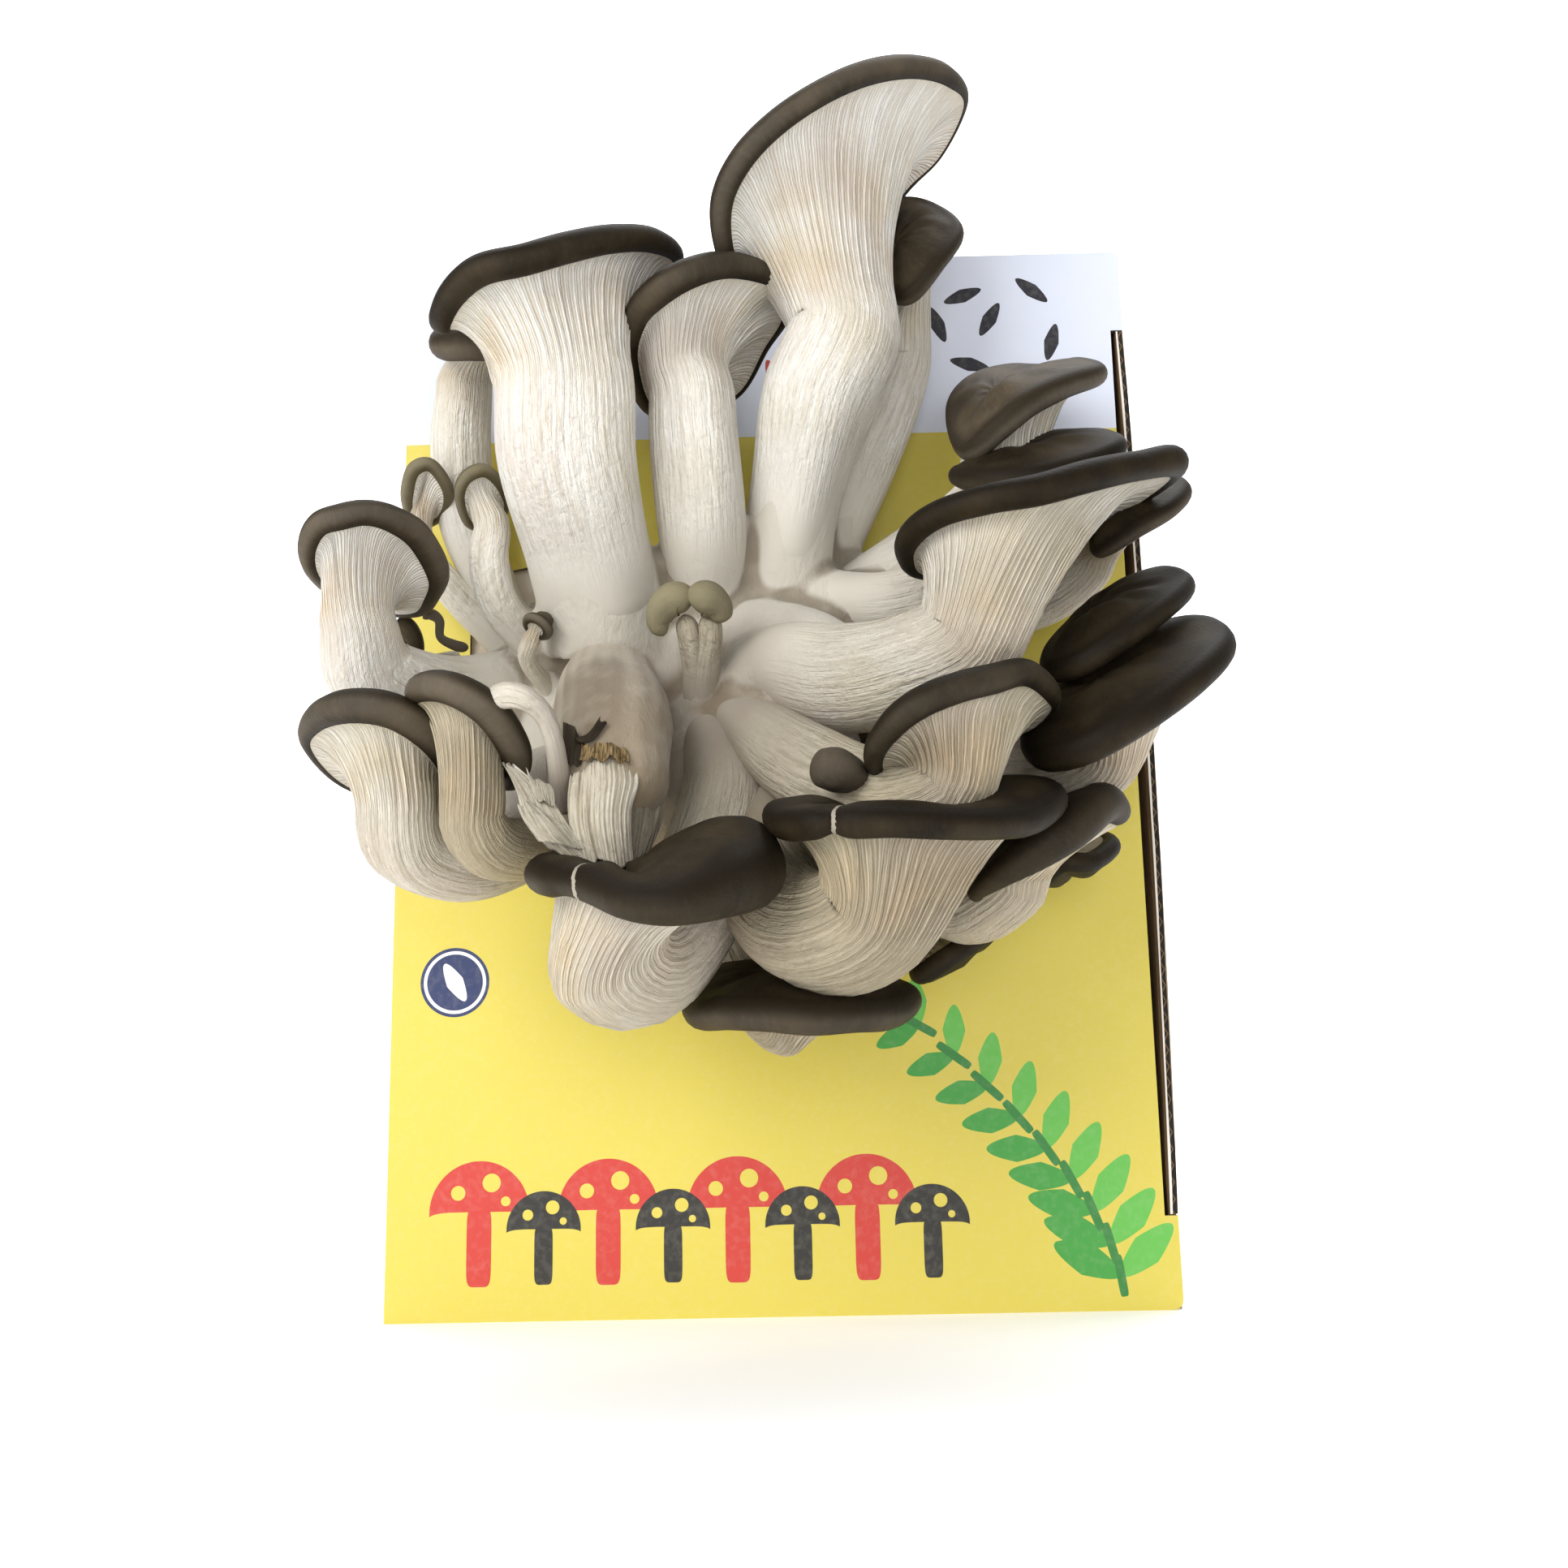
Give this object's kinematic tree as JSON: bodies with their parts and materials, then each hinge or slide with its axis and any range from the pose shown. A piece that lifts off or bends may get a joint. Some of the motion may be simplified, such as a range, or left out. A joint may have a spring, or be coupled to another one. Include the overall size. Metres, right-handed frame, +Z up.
{
  "type": "oyster mushroom grow kit",
  "caption": "Upright corrugated box holding a block of growing medium, with a cluster of oyster mushrooms growing out through a hole in its lid.",
  "frame": {"origin": "centre of the bottom face of the box, which rests on the table", "axes": "+Z up along the standing box, -Y out of the lid towards the mushrooms, +X to the right of someone who faces the lid"},
  "size_m": [0.1815, 0.2158, 0.262],
  "materials": {
    "board": "matte",
    "printed_board": "satin",
    "bagged_medium": "matte",
    "mycelium": "matte",
    "flesh": "satin",
    "cap_skin": "satin",
    "young_skin": "satin",
    "withered": "matte"
  },
  "bodies": {
    "root": {"box_lid": "printed_board", "box_tray": "board", "bud_dark": "cap_skin", "button_tiny": "young_skin", "cap_bottom": "cap_skin", "cap_bottom_far": "cap_skin", "cap_bottom_left": "cap_skin", "cap_bottom_right": "cap_skin", "cap_broad": "cap_skin", "cap_broad_far": "cap_skin", "cap_centre": "cap_skin", "cap_far": "cap_skin", "cap_hidden": "cap_skin", "cap_left": "cap_skin", "cap_low_far": "cap_skin", "cap_low_inner": "cap_skin", "cap_low_left": "cap_skin", "cap_low_right": "cap_skin", "cap_middle": "cap_skin", "cap_right": "cap_skin", "cap_right_small": "cap_skin", "cap_right_upper": "cap_skin", "cap_shy": "cap_skin", "cap_tall": "cap_skin", "cap_thick": "cap_skin", "cap_torn": "flesh", "cap_upper_right": "cap_skin", "cluster_foot": "mycelium", "curl_dark": "withered", "curl_pale": "flesh", "mushroom_button_a": "young_skin", "mushroom_button_b": "young_skin", "mushroom_twin_a": "young_skin", "mushroom_twin_b": "young_skin", "sprig_withered": "withered", "stem_bottom": "flesh", "stem_bottom_far": "flesh", "stem_bottom_left": "flesh", "stem_bottom_right": "flesh", "stem_broad": "flesh", "stem_broad_far": "flesh", "stem_centre": "flesh", "stem_hidden": "flesh", "stem_left": "flesh", "stem_low_far": "flesh", "stem_low_inner": "flesh", "stem_low_left": "flesh", "stem_low_right": "flesh", "stem_middle": "flesh", "stem_right": "flesh", "stem_right_small": "flesh", "stem_right_upper": "flesh", "stem_shy": "flesh", "stem_tall": "flesh", "stem_thick": "flesh", "stem_torn": "flesh", "stem_upper_right": "flesh", "substrate_block": "bagged_medium"}
  },
  "joints": []
}
